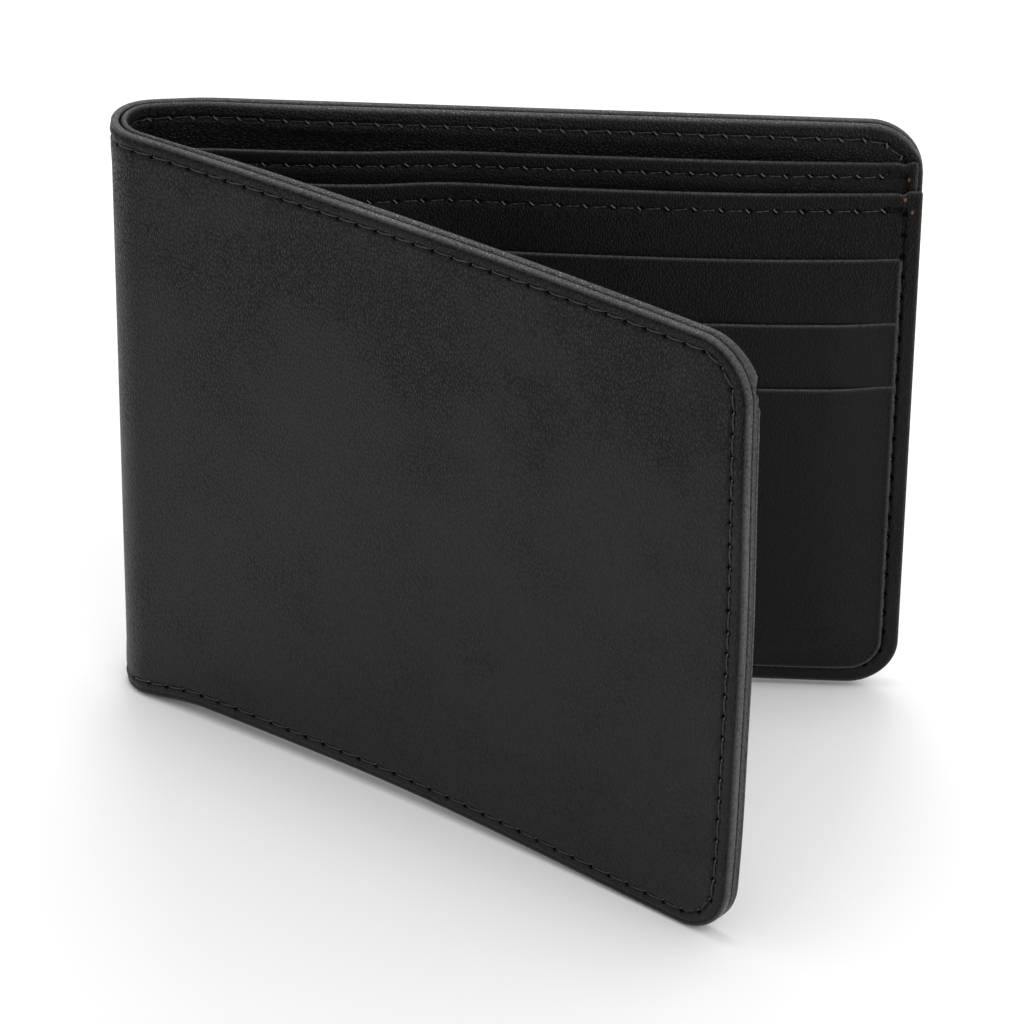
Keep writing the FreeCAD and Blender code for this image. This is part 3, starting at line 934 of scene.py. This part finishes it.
def coverRelief(info):
    inset = info["inset"]
    relief = seamRelief(info["along"], inset - coverShape["seam"], info["pitch"])
    for depth, at, width in coverFolds:
        relief = relief + depth * ridge(inset, at, width)
    return relief + softWaves(info)


def coverInner(side, u, up):
    return stack["coverEdge"] + 0 * u


def coverOuter(side, u, up):
    return 0 * u


def coverHollow(info):
    # inside the turned edge the cover is a single thickness
    return (stack["coverEdge"] - stack["coverSheet"]) * smoothStep((info["inset"] - turnedEdge) / 0.6)


def liningHollow(info):
    return stack["liningTurn"] * smoothStep((info["inset"] - turnedEdge) / 0.6)


def liningFace(info):
    # inner face: seam along the edge and the gathers that the bend forces on the lining
    u, z = info["u"], info["z"]
    relief = seamRelief(info["along"], info["inset"] - liningShape["seam"], info["pitch"], 1.1)
    gather = np.sin(u * 3.7 + 0.8 * np.sin(u * 1.7)) * np.exp(-(u / 12.0) ** 4)
    fade = ridge(z, height, 9.0)
    edge = smoothStep((info["inset"] - 0.2) / 0.8)
    return relief + 0.14 * gather * fade * edge + 0.5 * softWaves(info)


def rowRelief(top, inset, pitch):
    def relief(info):
        depthBelow = top - info["z"]
        hem = 0.05 * ridge(depthBelow, 0.7, 0.35)
        turn = 0.06 * ridge(depthBelow, inset + 1.3, 0.5)
        sewn = smoothStep((rowEnd + 0.5 - info["u"]) / 0.5)
        return seamRelief(info["u"], depthBelow - inset, pitch, 0.85) * sewn - hem - turn
    return relief


def mouthFace(shape, inset, pitch):
    # the side and foot seams; along the top edge there is only the row
    topFace = rowRelief(shape["top"], inset, pitch)

    def face(info):
        across = info["inset"] - shape["seam"]
        sideways = np.minimum(smoothStep((info["u"] - (shape["edge"] - 6.0)) / 0.6)
                              + smoothStep((shape["top"] - 8.0 - info["z"]) / 1.0), 1)
        return topFace(info) + seamRelief(info["along"], across, info["pitch"], 0.9) * sideways
    return face


# Where the seams run, for the shading: place between holes, distance across, strength

def edgeMarks(shape):
    def marks(info):
        return info["along"] / info["pitch"], info["inset"] - shape["seam"], 0 * info["u"] + 1.0
    return marks


def mouthMarks(shape, inset, pitch):
    # the row under the top edge as far as the side seam, then that seam
    def marks(info):
        row = (info["u"] / pitch, shape["top"] - inset - info["z"], 0 * info["u"] + 1.0)
        onEdge = (info["z"] < shape["top"] - inset - 1.9) | (info["u"] > rowEnd + 0.1)
        return [np.where(onEdge, edge, mouth) for edge, mouth in zip(edgeMarks(shape)(info), row)]
    return marks


def finishSheet(piece, material):
    piece.data.materials.append(material)


sides = (("Back", -1, "back"), ("Front", 1, "front"))


def shapesOf(side, prefix):
    # the four full-length shapes on one side of the fold
    rounded = {"cornerTop": stack[prefix + "Corner"], "cornerBottom": stack[prefix + "Foot"]}
    dividerEdge, panelEdge = stack[prefix + "DividerEdge"], stack[prefix + "PanelEdge"]
    return {
        "cover": dict(coverShape, **rounded),
        "lining": dict(liningShape, **rounded),
        "divider": dict(dividerShape, top=dividerTop(side), cornerBottom=stack[prefix + "Foot"],
                        edge=halfLength + dividerEdge, seam=sideSeam + dividerEdge),
        "panel": dict(panelShape, top=panelTop(side), cornerBottom=stack[prefix + "Foot"],
                      edge=halfLength + panelEdge, seam=sideSeam + panelEdge),
    }


for label, side, prefix in sides:
    shapes = shapesOf(side, prefix)
    dividerMouth = (shapes["divider"], dividerRow, stitches["dividerPitch"])
    panelMouth = (shapes["panel"], panelRow, stitches["panelPitch"])
    sheets = {
        "cover": (coverOuter, coverInner, coverRelief, coverHollow, edgeMarks(shapes["cover"]),
                  coverLeather, "cover_leather"),
        "lining": (liningOuter, liningInner, liningHollow, liningFace, edgeMarks(shapes["lining"]),
                   liningLeather, "lining_leather"),
        "divider": (dividerOuter, dividerInner, None, mouthFace(*dividerMouth), mouthMarks(*dividerMouth),
                    innerLeather, "inner_leather"),
        "panel": (panelOuter, panelInner, None, mouthFace(*panelMouth), mouthMarks(*panelMouth),
                  innerLeather, "inner_leather"),
    }
    for name, (outer, inner, outerRelief, innerRelief, marks, material, slot) in sheets.items():
        sheet = buildSheet(name + label, side, shapes[name], outer, inner, outerRelief, innerRelief, marks)
        finishSheet(sheet, material)
        follow(sheet, side, inner, shapes[name]["top"])
        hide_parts(prefix + "_" + name, "spine_" + name)
    print("full-length sheets made,", label)


# Pockets: three slots over two fabric tails on each panel, and the stiffening board

slotEnd = halfLength - 2.35
slotNames = ("upper", "middle", "lower")
slotShape = {
    "start": slotSpine, "edge": slotEnd, "zone": 3.0, "cornerTop": 0.2, "cornerBottom": 0.2,
    "seam": 1.0, "sideInset": 0.0, "step": 0.8, "bead": 0.1, "topBead": 0.22, "beadSteps": 6,
    "square": 0.8, "topWave": None,
    "outerRings": [0.4, 1.0, 3.0], "innerRings": [0.4, 0.6, 0.8, 1.1, 1.5, 2.2, 3.0],
}


def slotFace(info):
    # the creased line along a thin hem
    below = info["inset"]
    return 0.04 * ridge(below, 0.9, 0.15) - 0.04 * ridge(below, 0.5, 0.25)


tailShape = dict(slotShape, bead=0.08, topBead=0.08, step=1.6, outerRings=[0.3, 3.0], innerRings=[0.3, 3.0])
boardShape = dict(tailShape, cornerTop=1.4, cornerBottom=1.4, bead=0.1, topBead=0.1)
boardGap = 0.12             # air on both sides of the board


def boardOuter(side, u, up):
    return 0 * u + stack["coverSheet"] + boardGap


def boardInner(side, u, up):
    return 0 * u + stack["liningOuter"] + stack["liningTurn"] - boardGap


def alongOf(x):
    # distance along the leather of a place on the flat back leaf
    return x - tangentX + bendHalf


for label, side, prefix in sides:
    body = prefix + "_leaf"
    for index, name in enumerate(slotNames):
        low, high = (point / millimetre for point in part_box("back_slot_" + name))
        shape = dict(slotShape, bottom=low.z, top=high.z)
        if name == "lower":
            shape.update(bottom=2.45, zone=6.5, cornerBottom=stack[prefix + "Foot"] - 2.4,
                         innerRings=[0.4, 0.6, 0.8, 1.1, 1.5, 2.2, 3.0, 4.5, 6.5], outerRings=[0.4, 1.0, 6.5])
        slotPiece = buildSheet("slot" + name.capitalize() + label, side, shape,
                               slotOuter(index), slotInner(index, stack["slot"]), None, slotFace)
        finishSheet(slotPiece, innerLeather)
        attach(slotPiece, body)
        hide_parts(prefix + "_slot_" + name)
        if index == len(slotNames) - 1:
            continue
        low, high = (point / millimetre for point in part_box("back_tail_" + name))
        shape = dict(tailShape, start=alongOf(low.x), edge=alongOf(high.x), bottom=low.z, top=high.z)
        tail = buildSheet("tail" + name.capitalize() + label, side, shape,
                          slotOuter(index), slotInner(index, stack["tail"]))

        finishSheet(tail, liningTwill)
        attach(tail, body)
        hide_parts(prefix + "_tail_" + name)
    low, high = (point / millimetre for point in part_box("back_interlining"))
    shape = dict(boardShape, start=alongOf(low.x) + 2.0, edge=alongOf(high.x), bottom=low.z, top=high.z)
    board = buildSheet("interlining" + label, side, shape, boardOuter, boardInner)

    finishSheet(board, fibreBoard)
    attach(board, body)
    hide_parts(prefix + "_interlining")
print("pockets and interlining made")


# Thread: the rows along the edges, along the two pocket mouths and beside the slots

def edgeHoles(seam, first=0.0, last=1e9):
    # the seam's holes between two distances along it
    distance, u, z, pitch = seam
    last = min(last, distance[-1])
    places = np.arange(math.ceil(first / pitch - 1e-6), math.floor(last / pitch + 1e-6) + 1) * pitch
    return np.interp(places, distance, u), np.interp(places, distance, z)


def rowHoles(up, pitch):
    # the holes of a straight row, from the middle of the spine
    us = np.arange(0, rowEnd / pitch) * pitch
    return us, 0 * us + up


slotSpacing = 10.0

for label, side, prefix in sides:
    shapes = shapesOf(side, prefix)
    coverSeam, liningSeam, panelSeam = (seamOf(shapes[name], stitches["pitch"])
                                        for name in ("cover", "lining", "panel"))
    liningFrom = liningSeam[0][-1] - halfLength - 4
    panelTo = panelSeam[0][-1] - halfLength - 3
    # the holes, the face sewn on and its direction, the seed, hook and thickness, and the depth and top
    # handed to follow
    rows = {
        "cover": (edgeHoles(coverSeam), coverOuter, 1, 11, 0.0, 1.0, coverInner, height),
        "lining": (edgeHoles(liningSeam, liningFrom), liningInner, -1, 21, 0.55, 0.75, liningInner, height),
        "seam": (edgeHoles(panelSeam, 0, panelTo), panelInner, -1, 31, 0.0, 0.8, panelInner, panelTop(side)),
        "divider": (rowHoles(dividerTop(side) - dividerRow, stitches["dividerPitch"]),
                    dividerInner, -1, 41, 0.6, 0.75, dividerInner, dividerTop(side)),
        "panel": (rowHoles(panelTop(side) - panelRow, stitches["panelPitch"]),
                  panelInner, -1, 51, 0.65, 0.75, panelInner, panelTop(side)),
    }
    for name, ((us, ups), depthOf, facing, seed, hook, thin, bendsWith, top) in rows.items():
        thread = sewRow(name + "Thread" + label, side, us, ups, depthOf, facing, seed + side, hook, thin)
        follow(thread, side, bendsWith, top)
        nodes = [prefix + "_" + name + "_thread"]
        if name != "seam":
            nodes.append("spine_" + name + "_thread")
        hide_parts(*nodes)

    low, high = (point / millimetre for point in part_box("back_pocket_thread"))
    ups = np.arange(low.z, high.z, stitches["pitch"])

    def pocketDepth(s, u, up):
        # the innermost slot at each height
        index = np.clip(np.floor((high.z - up) / slotSpacing), 0, 2)
        depth = 0 * up
        for k in range(len(slotNames)):
            depth = np.where(index == k, slotInner(k, stack["slot"])(s, u, up), depth)
        return depth

    us = 0 * ups + alongOf((low.x + high.x) / 2)
    pocketThread = sewRow("pocketThread" + label, side, us, ups, pocketDepth, -1, 61 + side)

    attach(pocketThread, prefix + "_leaf")
    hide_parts(prefix + "_pocket_thread")
print("stitches sewn")


# Floor, light and camera

def floorMaterial():
    # Matt white paper sweep
    material, tree, shader = newMaterial("mattPaperSweep")
    where = addNode(tree, "ShaderNodeTexCoord").outputs["Object"]
    grain = addNode(tree, "ShaderNodeTexNoise", {"Vector": where, "Scale": 40.0, "Detail": 2.0})
    tone = addNode(tree, "ShaderNodeMix", {0: grain, 6: "#f6f6f6", 7: "#f8f8f8"}, data_type="RGBA")
    setInputs(tree, shader, {"Base Color": tone.outputs[2], "Roughness": 0.8})
    return material


stage = {"reach": 8.0, "drop": 0.0003, "brightness": 0.84}
reach = stage["reach"]
floorMesh = bpy.data.meshes.new("floor")
floorMesh.from_pydata([(-reach, -reach, 0), (reach, -reach, 0), (reach, reach, 0), (-reach, reach, 0)],
                      [], [(0, 1, 2, 3)])
floorMesh.transform(Matrix.Translation((0, 0, -stage["drop"])))
floor = bpy.data.objects.new("floor", floorMesh)
floorMesh.materials.append(floorMaterial())
bpy.context.scene.collection.objects.link(floor)

lights = {
    "rear": {"at": (0.0, 0.9, 0.6), "aim": (0, 0, 0.04), "size": 0.6, "depth": 0.35, "power": 3.0},
    "overhead": {"at": (0.0, 0.05, 1.2), "aim": (0, 0.02, 0.0), "size": 0.5, "depth": 0.3, "power": 2.4},
    "front": {"at": (0.5, -0.6, 0.8), "aim": (0.05, 0, 0.03), "size": 0.9, "depth": 0.6, "power": 3.0},
}
for name, lamp in lights.items():
    lampData = bpy.data.lights.new(name, "AREA")
    lampData.shape = "RECTANGLE"
    lampData.size = lamp["size"]
    lampData.size_y = lamp["depth"]
    lampData.energy = lamp["power"]
    thing = bpy.data.objects.new(name, lampData)
    thing.location = lamp["at"]
    thing.rotation_euler = (Vector(lamp["aim"]) - Vector(lamp["at"])).to_track_quat("-Z", "Y").to_euler()
    bpy.context.scene.collection.objects.link(thing)

world = bpy.data.worlds.new("studio")
world.use_nodes = True
world.node_tree.nodes["Background"].inputs["Color"].default_value = (1, 1, 1, 1)
world.node_tree.nodes["Background"].inputs["Strength"].default_value = stage["brightness"]
bpy.context.scene.world = world
bpy.context.scene.view_settings.view_transform = "Standard"

shot = {
    "at": (0.02857, -0.59734, 0.38230),
    "heading": math.radians(2.6),     # left of straight ahead
    "down": math.radians(29.40),
    "roll": math.radians(0.74),
    "lens": 178.4,
}
heading, down, roll = shot["heading"], shot["down"], shot["roll"]
ahead = Vector((-math.sin(heading) * math.cos(down), math.cos(heading) * math.cos(down), -math.sin(down)))
level = Vector((math.cos(heading), math.sin(heading), 0))
above = level.cross(ahead)
right = level * math.cos(roll) + above * math.sin(roll)
above = above * math.cos(roll) - level * math.sin(roll)
cameraData = bpy.data.cameras.new("camera")
cameraData.lens = shot["lens"]
cameraData.sensor_width = 36.0
cameraData.clip_start = 0.05
cameraData.clip_end = 30.0
camera = bpy.data.objects.new("camera", cameraData)
turn = Matrix((right, above, -ahead)).transposed().to_4x4()
camera.matrix_world = Matrix.Translation(shot["at"]) @ turn
bpy.context.scene.collection.objects.link(camera)
bpy.context.scene.camera = camera
print("stage set")
